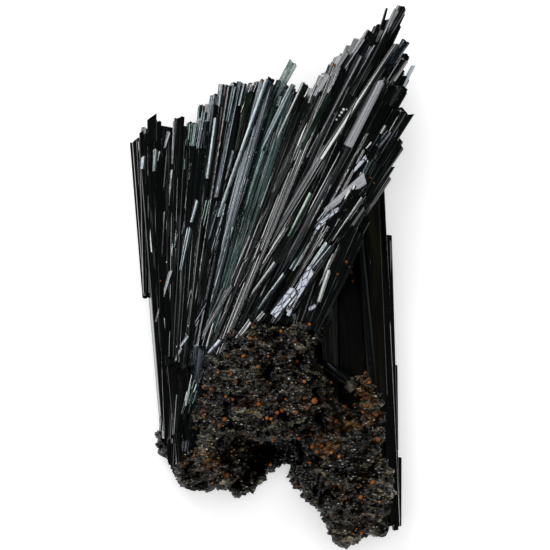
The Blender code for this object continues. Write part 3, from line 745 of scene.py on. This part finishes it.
def vivianite(
    name, dark, deep, bright, rough, furrow=0.08, sheen_share=0.5, cracks=0.0, tint=(1, 1, 1), painted_glints=0.0, lines=0.8,
):
    """Dark glassy crystal with fine furrows along its laths, tones that change between them and coloured depths, with
    painted sheen in lighter streaks, painted highlight lines and painted glints.
    """
    m = Nodes(name)
    grain, tone = m.uv("grain"), m.uv("tone")

    def grained(across, lengthwise, detail, roughness=0.55):
        return m.noise(m.stretch(grain, (across, lengthwise, 1.0)), detail=detail, roughness=roughness)

    def above_root(least):
        return m.span(m.axis(m.place(), "Y"), -34 * MM, -6 * MM, least, 1.0)

    threads = grained(2.3, 0.005, 1.0, 0.5)
    bands = grained(0.8, 0.012, 1.0)
    clouds = grained(0.5, 0.06, 3.0)
    chips = grained(2.0, 0.7, 2.0, 0.6)
    first_tone, second_tone = m.axis(tone, "X"), m.axis(tone, "Y")
    colour = m.blend(m.span(clouds, 0.48, 0.66), dark, deep)
    # Painted sheen: the bright colour in streaks along the threads of some laths, broken by clouds and fading towards
    # the root end
    sheen_laths = m.span(first_tone, 1 - sheen_share, 1.0, 0.1, 1.0)
    sheen_clouds = m.span(clouds, 0.35, 0.6, 0.3, 1.0)
    painted_sheen = m.times(m.span(threads, 0.47, 0.62), sheen_laths, sheen_clouds, above_root(0.15))
    colour = m.blend(painted_sheen, colour, bright)
    # Painted highlight: thin light lines along the laths, broken here and there, on some laths, fewer towards the root
    # end
    painted_highlight_lines = m.span(grained(4.4, 0.003, 1.0), 0.66 - 0.05 * lines, 0.71 - 0.05 * lines)
    highlight_line_breaks = m.span(grained(0.8, 0.12, 2.0), 0.46, 0.58)
    highlight_line_laths = m.span(second_tone, 0.2, 1.0, 0.0, min(1.0, lines))
    colour = m.blend(m.times(painted_highlight_lines, highlight_line_breaks, highlight_line_laths, above_root(0.3)), colour, PAINTED_HIGHLIGHT_LINE_COLOUR)
    # Painted glints: small light flecks on the laths
    if painted_glints:
        painted_glint_flecks = grained(3.4, 1.7, 2.0, 0.7)
        colour = m.blend(m.span(painted_glint_flecks, 0.64, 0.70, 0.0, painted_glints), colour, PAINTED_GLINT_COLOUR)
    height = m.plus(threads, m.times(bands, 1.5), m.times(chips, m.span(second_tone, 0.5, 1.0, 0.0, 0.35)))
    if cracks:
        plates = m.cells(m.stretch(grain, (0.8, 0.36, 1.0)), 1.0, "DISTANCE_TO_EDGE")
        gap = m.span(plates["Distance"], 0.0, 0.05)
        colour = m.blend(gap, CRACK_COLOUR, colour)
        height = m.plus(height, m.times(gap, cracks))
    m.surface("Base Color", colour)
    m.surface("Roughness", m.plus(m.span(bands, 0.35, 0.7, *rough), m.span(chips, 0.55, 0.8, 0.0, 0.15)))
    m.surface("IOR", CRYSTAL_IOR)
    m.surface("Specular Tint", (*tint, 1))
    m.surface("Normal", m.bump(height, furrow * MM))
    return m.material


def pale_crystal(name, dark, light):
    """Greenish clear crystal with darker threads inside."""
    m = Nodes(name)
    threads = m.noise(m.stretch(m.uv("grain"), (1.6, 0.10, 1.0)), detail=4.0, roughness=0.6)
    m.surface("Base Color", m.blend(m.span(threads, 0.42, 0.60), dark, light))
    m.surface("Transmission Weight", 0.55)
    m.surface("IOR", CRYSTAL_IOR)
    m.surface("Roughness", m.span(threads, 0.3, 0.7, 0.04, 0.25))
    m.surface("Normal", m.bump(threads, 0.25 * MM))
    return m.material


def rock_material():
    """Black porous rock with light and rusty grains, painted light on its crests, painted shade in its hollows and
    painted glints on a few crumbs.
    """
    m = Nodes("rusty_rock")
    place = m.place()
    level = m.stretch(place, (0.75, 1.30, 1.0))
    relief = m.add("ShaderNodeAttribute", attribute_name="relief").outputs["Fac"]
    grains = m.cells(level, 1150.0)
    crumbs = m.cells(level, 1900.0)
    strands = m.noise(m.stretch(place, (0.4, 1.5, 1.0)), 620.0, 3.0, 0.6, 0.8)
    veins = m.noise(level, 560.0, 5.0, 0.75)
    patches = m.noise(place, 120.0, 4.0, 0.6)
    rust = m.plus(m.noise(place, 230.0, 5.0, 0.75), *(m.near(place, *spot, 0.11) for spot in CRUST_SPOTS))
    pale = m.plus(*(m.near(place, *spot, 1.0) for spot in PALE_SPOTS))
    tone = m.axis(grains["Color"], "X")
    # Painted light: the rock shows lighter where its relief is high
    painted_crest_light = m.span(relief, -0.5, 1.3)

    colour = m.blend(m.span(patches, 0.38, 0.62), (0.0007, 0.0008, 0.0007), (0.0034, 0.0036, 0.0030))
    # The grains' own lighter tone, shown on the crests as painted light
    colour = m.blend(m.times(m.span(tone, 0.5, 1.0), painted_crest_light), colour, (0.038, 0.037, 0.029))
    # Pale strands: the rock's own pale grains and pale spots, shown lighter on the crests as painted light
    crest_light_and_pale = m.plus(painted_crest_light, m.times(pale, 0.6))
    light = m.times(m.span(strands, 0.53, 0.59), m.span(veins, 0.44, 0.58, 0.05, 1.0), crest_light_and_pale)
    colour = m.blend(light, colour, (0.255, 0.222, 0.142))
    rusty = m.times(m.span(rust, 0.58, 0.68), m.span(tone, 0.1, 0.8, 0.25, 0.9))
    colour = m.blend(rusty, colour, (0.22, 0.078, 0.010))
    # Painted shade in the hollows of the relief, together with darker veins of the rock's own
    painted_pit_shade_and_veins = m.times(m.span(relief, -1.4, 0.4, 0.02, 1.0), m.span(veins, 0.38, 0.52, 0.12, 1.0))
    colour = m.blend(1.0, colour, painted_pit_shade_and_veins, "MULTIPLY")
    crumb_mood = m.plus(m.axis(crumbs["Color"], "Y"), m.times(pale, 0.1))
    # Crumbs fade in the hollows of the relief: painted shade
    crumb_face = m.times(m.span(crumbs["Distance"], 0.30, 0.42, 1.0, 0.0), m.span(relief, -1.2, 0.2))
    tan = m.times(m.span(crumb_mood, 0.80, 0.84), crumb_face, m.span(patches, 0.35, 0.6, 0.3, 1.0))
    colour = m.blend(tan, colour, (0.33, 0.215, 0.085))
    # Painted glints: whitish flecks on a few crumbs
    colour = m.blend(m.times(m.span(crumb_mood, 0.945, 0.96), crumb_face), colour, (0.52, 0.51, 0.43))
    m.surface("Base Color", colour)
    m.surface("Roughness", m.span(m.axis(grains["Color"], "Z"), 0.1, 0.9, 0.12, 0.5))
    m.surface("Specular IOR Level", 0.3)
    normal = m.bump(m.span(grains["Distance"], 0.0, 0.8, 1.0, 0.0), 0.35 * MM)
    m.surface("Normal", m.facets(grains["Color"], normal, 0.8))
    return m.material


def bead_material():
    """Rusty orange, darker in places."""
    m = Nodes("rust_beads")
    place = m.place()
    tone = m.noise(place, 160.0, 2.0)
    spots = m.noise(place, 1500.0, 3.0)
    colour = m.blend(m.span(tone, 0.35, 0.65), (0.058, 0.015, 0.002), (0.37, 0.105, 0.010))
    m.surface("Base Color", m.blend(m.span(spots, 0.55, 0.75, 0.0, 0.6), colour, (0.04, 0.02, 0.012)))
    m.surface("Specular IOR Level", 0.3)
    m.surface("Roughness", m.span(spots, 0.3, 0.7, 0.35, 0.65))
    m.surface("Normal", m.bump(spots, 0.08 * MM, 0.7))
    return m.material


# Rock

def rock_relief(point):
    """Outward move in millimetres at a point of the rock: lumps, level ridges, grains and pits."""
    sway = noise.noise(point * 0.16) * 2.4
    ridges = noise.noise(Vector((point.x * 0.16, point.y * 0.74 - point.x * 0.14 + sway, point.z * 0.25)))
    lumps = noise.fractal(point * 0.34, 0.7, 2.1, 3)
    flat_point = Vector((point.x * 0.75, point.y * 1.35 - point.x * 0.2 + 0.5 * sway, point.z))
    grains = 0.5 - noise.voronoi(flat_point)[0][0]
    fine = 0.5 - noise.voronoi(point * 1.9 + Vector((5, 1, 9)))[0][0]
    pits = max(0.0, noise.noise(point * 0.62 + Vector((3, 8, 5))) - 0.16)
    height = 1.8 * ridges + 0.7 * lumps + 1.0 * grains + 0.6 * fine - 3.6 * pits
    for (x, y), (half_x, half_y), depth in HOLLOWS:
        height -= depth * max(0.0, 1 - ((point.x - x) / half_x) ** 2 - ((point.y - y) / half_y) ** 2)
    return height


def build_rock(node):
    """The rock's solid, with its grain."""
    rock = node.copy()
    rock.data = node.data.copy()
    rock.name = "porous_rock"
    bpy.context.scene.collection.objects.link(rock)
    select_only(rock)
    bpy.ops.object.mode_set(mode="EDIT")
    bpy.ops.mesh.select_all(action="SELECT")
    bpy.ops.mesh.remove_doubles(threshold=0.00001)
    bpy.ops.object.mode_set(mode="OBJECT")
    apply_modifier(rock, "REMESH", mode="VOXEL", voxel_size=ROCK_VOXEL * MM)
    apply_modifier(rock, "SMOOTH", factor=0.5, iterations=3)
    places = corners_of(rock.data)
    normals = np.empty(len(rock.data.vertices) * 3)
    rock.data.vertices.foreach_get("normal", normals)
    normals = normals.reshape(-1, 3)
    moves = np.array([rock_relief(Vector(place) / MM) for place in places]) * MM
    # The relief is kept for the rock's colour: painted light on its crests and painted shade in its hollows
    relief = rock.data.attributes.new("relief", "FLOAT", "POINT")
    relief.data.foreach_set("value", moves / MM)
    moves -= 0.45 * MM * (1 - np.abs(normals[:, 2]))
    places += normals * moves[:, None]
    places[:, 2] = np.maximum(places[:, 2], 0.02 * MM)
    rock.data.vertices.foreach_set("co", places.ravel())
    rock.data.update()
    bpy.ops.object.shade_smooth()
    dress(rock, rock_material())
    return rock


def model_ball():
    """A round grain to copy."""
    select_only()
    bpy.ops.mesh.primitive_ico_sphere_add(subdivisions=2, radius=1, location=(0, 0, 0))
    return bpy.context.object


def place_ball(pattern, middle, radius, lumps, wave, shift):
    """A lumpy copy of a ball. Its middle and radius are in metres."""
    mesh = pattern.data.copy()
    shape = corners_of(mesh)
    shape *= (1 + lumps * np.array([noise.noise(Vector(c) * wave + shift) for c in shape]))[:, None]
    mesh.vertices.foreach_set("co", (shape * radius + middle).ravel())
    return add_object("ball", mesh)


def join_balls(name, balls, pattern, material):
    piece = join(name, balls)
    bpy.data.objects.remove(pattern)
    bpy.ops.object.shade_smooth()
    dress(piece, material)
    return piece


def build_spots(name, spots, ground, material):
    """Small lumpy balls that sit on the highest piece below each place of the plan."""
    pattern = model_ball()
    pattern.data.uv_layers.new(name="grain")
    pattern.data.uv_layers.new(name="tone")
    balls = []
    for u, v, radius in spots:
        x, y = plan_place((u, v))
        height = surface_height(ground, x, y)
        if height is not None:
            radius *= PLAN_SQUARE
            middle = np.array((x, y, height + 0.3 * radius)) * MM
            balls.append(place_ball(pattern, middle, radius * MM, 0.15, 1.4, Vector((x, y, 0))))
    return join_balls(name, balls, pattern, material)


def build_beads(rock):
    """Rust beads half sunk in the rock."""
    pattern = model_ball()
    rng = random.Random(BEAD_SEED)
    faces = rock.data.polygons
    beads = []
    while len(beads) < BEADS:
        face = faces[rng.randrange(len(faces))]
        crowd = noise.noise(face.center * 130 + Vector((4, 2, 7)))
        if face.center.z < 3 * MM or crowd < rng.uniform(-0.35, 0.35):
            continue
        size = rng.choice(BEAD_RADII) * rng.uniform(0.8, 1.2)
        middle = np.array(face.center + face.normal * size * 0.25 * MM)
        beads.append(place_ball(pattern, middle, size * MM, 0.12, 1.5, face.center * 900))
    return join_balls("rust_beads", beads, pattern, bead_material())


# Studio

def set_camera():
    distance = PICTURE_WIDTH * MM * LENS / SENSOR
    x, y = PICTURE_CENTRE
    bpy.ops.object.camera_add(location=(x * MM, y * MM, FOCUS_HEIGHT * MM + distance), rotation=(0, 0, 0))
    camera = bpy.context.object
    camera.data.lens = LENS
    camera.data.sensor_width = SENSOR
    camera.data.clip_start = 0.01
    camera.data.clip_end = 50
    bpy.context.scene.camera = camera


def add_softbox(name, place, size, watts):
    """A soft rectangular lamp that points at the specimen."""
    bpy.ops.object.light_add(type="AREA", location=place)
    light = bpy.context.object
    light.name = name
    light.data.shape = "RECTANGLE"
    light.data.size, light.data.size_y = size
    light.data.energy = watts
    light.rotation_euler = (Vector() - Vector(place)).to_track_quat("-Z", "Y").to_euler()
    return light


def set_studio():
    select_only()
    bpy.ops.mesh.primitive_plane_add(size=6, location=(0, 0, -0.00005))
    floor = bpy.context.object
    floor.name = "floor"
    m = Nodes("white_card")
    m.surface("Base Color", (0.85, 0.85, 0.85, 1))
    m.surface("Emission Color", (1, 1, 1, 1))
    m.surface("Emission Strength", 0.42)
    m.surface("Roughness", 0.9)
    m.surface("Specular IOR Level", 0.1)
    floor.data.materials.append(m.material)
    key = add_softbox("key", KEY_PLACE, (1.0, 0.26), 11.2)
    key.visible_diffuse = False
    add_softbox("back", (-0.30, 0.85, 0.75), (0.60, 0.50), 6.0)
    ceiling = add_softbox("ceiling", (0, 0, 1.2), (1.1, 1.1), 12.0)
    ceiling.visible_glossy = False
    world = bpy.data.worlds.new("studio")
    bpy.context.scene.world = world
    world.use_nodes = True
    background = world.node_tree.nodes["Background"]
    background.inputs["Color"].default_value = (0.9, 0.95, 1.0, 1)
    background.inputs["Strength"].default_value = 0.04
    bpy.context.scene.view_settings.view_transform = "Standard"


def crystal_finishes():
    """The finishes of the blades by name: dark, deep and bright colours, the bright one painted sheen, roughness range,
    then what is unusual.
    """
    blue, green = (0.84, 0.93, 1.0), (0.75, 1.0, 0.95)
    return {
        "black": vivianite(
            "black_glass", (0.0008, 0.0009, 0.0009), (0.002, 0.004, 0.0022), (0.006, 0.007, 0.008), (0.04, 0.13),
            0.06,
        ),
        "smoky": vivianite(
            "smoky_blades", (0.001, 0.0014, 0.0014), (0.003, 0.006, 0.004), (0.018, 0.021, 0.022), (0.05, 0.15),
            0.16, 0.6,
        ),
        "steel": vivianite(
            "steel_blades", (0.0012, 0.0025, 0.004), (0.007, 0.014, 0.019), (0.07, 0.092, 0.118), (0.05, 0.16),
            0.22, 0.8, tint=blue, painted_glints=0.9, lines=1.5,
        ),
        "teal": vivianite(
            "teal_blades", (0.0012, 0.003, 0.0025), (0.006, 0.016, 0.015), (0.06, 0.105, 0.098), (0.05, 0.16),
            0.22, 0.8, tint=green, painted_glints=0.9, lines=1.5,
        ),
        "green": vivianite(
            "green_depths", (0.0008, 0.0014, 0.0008), (0.003, 0.014, 0.004), (0.012, 0.034, 0.016), (0.04, 0.13),
            0.08, 0.6,
        ),
        "grey": vivianite(
            "grey_blades", (0.001, 0.0012, 0.0014), (0.004, 0.0045, 0.005), (0.036, 0.037, 0.042), (0.05, 0.15),
            0.22, 0.8, painted_glints=0.5, lines=1.0,
        ),
        # The plate, bright and ice finishes are lighter copies of the dark crystal for blades turned to the key light:
        # their lighter colours are painted sheen, and the plates also have dark cracks
        "plate": vivianite(
            "cracked_plates", (0.02, 0.022, 0.026), (0.05, 0.055, 0.062), (0.14, 0.155, 0.18), (0.1, 0.22),
            0.05, 0.9, 1.0, tint=(0.74, 0.8, 0.9), lines=0.3,
        ),
        "silver": vivianite(
            "silver_faces", (0.004, 0.0045, 0.005), (0.01, 0.011, 0.013), (0.06, 0.062, 0.07), (0.12, 0.22),
            0.07, 0.9, tint=(0.54, 0.555, 0.585), lines=1.1,
        ),
        "ivory": vivianite(
            "ivory_end", (0.03, 0.026, 0.016), (0.14, 0.125, 0.08), (0.46, 0.43, 0.33), (0.15, 0.3), 0.05, 0.9,
        ),
        # Painted sheen: a lighter copy of the dark crystal for glinting cleavage faces
        "bright": vivianite(
            "cleavage_painted_sheen", (0.006, 0.007, 0.008), (0.03, 0.033, 0.036), (0.26, 0.28, 0.3), (0.06, 0.18),
            0.2, 0.9, lines=1.0,
        ),
        # Painted sheen: a pale copy of the dark crystal for glinting streaks
        "ice": vivianite(
            "ice_streaks", (0.004, 0.008, 0.009), (0.02, 0.034, 0.04), (0.38, 0.5, 0.54), (0.05, 0.14),
            0.14, 0.9, tint=(0.88, 0.97, 1.0), painted_glints=0.6, lines=1.6,
        ),
        "pale": vivianite(
            "pale_green", (0.004, 0.012, 0.006), (0.014, 0.045, 0.022), (0.1, 0.2, 0.13), (0.08, 0.24), 0.08, 0.9,
        ),
        "frost": vivianite(
            "frosted_needle", (0.4, 0.56, 0.59), (0.66, 0.82, 0.84), (0.84, 0.92, 0.94), (0.1, 0.3), 0.05, 0.9,
        ),
        "umber": vivianite(
            "umber_crystal", (0.0018, 0.0015, 0.0008), (0.006, 0.0055, 0.002), (0.003, 0.008, 0.003), (0.07, 0.18),
            0.04, lines=0.05,
        ),
        "ebony": vivianite(
            "ebony_crystal", (0.0012, 0.0012, 0.001), (0.003, 0.0036, 0.0015), (0.005, 0.0055, 0.0055), (0.06, 0.18),
            0.03, lines=0.1,
        ),
        "clear": pale_crystal("clear_crystal", (0.05, 0.085, 0.08), (0.42, 0.54, 0.5)),
    }


# Specimen

def build_crystals(node, rock_node):
    """All pieces that stand for the crystals."""
    patterns = [model_lath(f"pattern_{i}", cuts) for i, cuts in enumerate(CROWNS)]
    rng = random.Random(BLADE_SEED)
    finishes = crystal_finishes()
    pieces = []
    for name, plan in SPRAYS.items():
        laths = []
        for blade in spray_blades(plan):
            blade["finish"] = rng.choice(plan["finishes"])
            if blade["roll"] < -6:
                blade["roll"] += 30
            if name == "left_blades":
                blade["roll"] *= 0.5
            laths += laths_of(blade, rng, plan["lath_widths"], 1.4, 4.0)
        for from_above, count in ((True, plan["scattered"] // 3), (False, plan["scattered"])):
            for blade in scattered_blades(node, plan, rng, count, from_above):
                laths += laths_of(blade, rng, (0.3, 0.8), 1.0, 9.0)
        if name == "right_spray":
            for lath in laths:
                cut_at_line(lath, plan["tips"][:RISING_TIPS])
        pieces.append(build_laths(name, laths, patterns, finishes))
    for name, blades, usual_widths, wander in (
        ("standing_blades", STANDING, (1.2, 2.6), 2.0),
        ("edge_crystal", EDGE_CRYSTALS, (1.4, 3.0), 1.0),
        ("wedge_crystal", WEDGE_CRYSTALS, (1.4, 3.0), 1.0),
    ):
        laths = [lath for blade in blades for lath in laths_of(blade, rng, usual_widths, 1.0, wander)]
        pieces.append(build_laths(name, laths, patterns, finishes))
    pieces.append(build_laths("surface_blades", surface_laths([*pieces, rock_node], rng), patterns, finishes))
    laths = [lath for blade in CLEAR_CRYSTALS for lath in laths_of(blade, rng, (1.4, 2.0), 0.2, 0.0)]
    pieces.append(build_laths("clear_crystals", laths, patterns, finishes))
    for pattern in patterns:
        bpy.data.objects.remove(pattern)
    # White balls on the crystals that stand for glints: painted highlights
    glint_ball_finish = vivianite("painted_glint_balls", (0.6, 0.61, 0.62), (0.7, 0.7, 0.71), (0.8, 0.8, 0.8), (0.15, 0.3), 0.02)
    pieces.append(build_spots("painted_glint_balls", GLINT_BALLS, pieces, glint_ball_finish))
    pieces.append(build_spots("rust_spots", RUST_SPOTS, pieces, bead_material()))
    return pieces


def main():
    set_camera()
    set_studio()
    crystals, rock_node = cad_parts["crystals"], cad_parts["rock"]
    pieces = build_crystals(crystals, rock_node)
    for piece in pieces:
        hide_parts("crystals")
    rock = build_rock(rock_node)
    beads = build_beads(rock)
    large_beads = build_spots("large_beads", LARGE_BEADS, [rock], bead_material())
    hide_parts("rock")
    for piece in (rock, beads, large_beads):
        pieces.append(piece)
    for piece in pieces:
        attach(piece, "root")


main()
